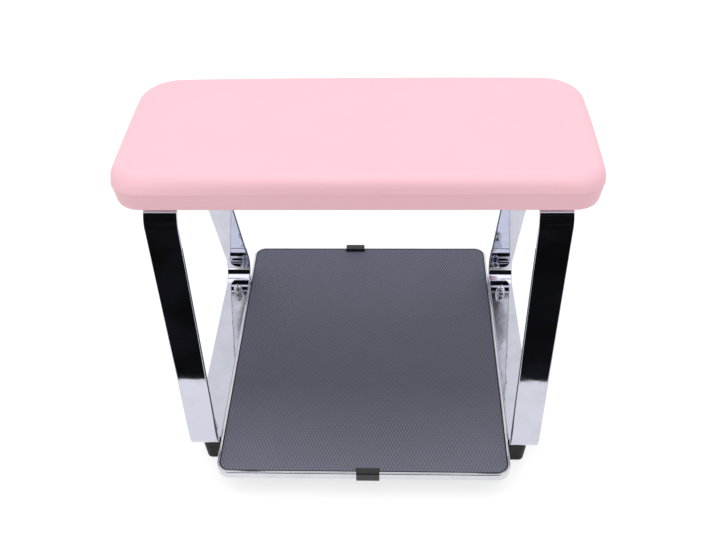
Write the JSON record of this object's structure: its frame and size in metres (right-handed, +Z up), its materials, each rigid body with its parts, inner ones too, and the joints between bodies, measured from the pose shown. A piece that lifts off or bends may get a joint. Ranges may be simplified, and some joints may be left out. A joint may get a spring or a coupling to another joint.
{
  "type": "pedicure footrest",
  "caption": "Padded foot bar carried by two bent flat bar side frames, over a low trimmed deck for a foot bath, on short black feet.",
  "frame": {"origin": "on the floor, under the middle of the deck, at the middle of the whole footrest in plan", "axes": "+Z up, +X to the right along the foot pad, +Y away from the upright front legs, towards the leaning rear legs"},
  "size_m": [0.416, 0.3768, 0.3916],
  "materials": {
    "frame_chrome": "polished",
    "nut_chrome": "polished",
    "trim_bright": "bright",
    "zinc_steel": "zinc plated",
    "foot_black": "matt",
    "clip_black": "satin",
    "panel_black": "black faced",
    "mat_grey": "finely dotted",
    "pad_pink": "soft sheen",
    "foam": "open cell",
    "plywood": "bare",
    "cloth_black": "felted"
  },
  "bodies": {
    "root": {"side_frame_left": "frame_chrome", "side_frame_right": "frame_chrome", "foot_front_left": "foot_black", "foot_front_right": "foot_black", "foot_rear_left": "foot_black", "foot_rear_right": "foot_black", "foot_bolts": "zinc_steel", "foot_bolt_washers": "zinc_steel", "frame_washers": "nut_chrome", "dome_nuts": "nut_chrome", "deck_screws": "zinc_steel", "deck_panel": "panel_black", "deck_mat": "mat_grey", "edge_trim_left": "trim_bright", "edge_trim_right": "trim_bright", "clip_front": "clip_black", "clip_rear": "clip_black", "pad_cover": "pad_pink", "pad_foam": "foam", "pad_board": "plywood", "pad_underside_cloth": "cloth_black", "cover_staples": "zinc_steel", "tee_nuts": "zinc_steel", "pad_bolts": "zinc_steel", "pad_washers": "zinc_steel"}
  },
  "joints": []
}
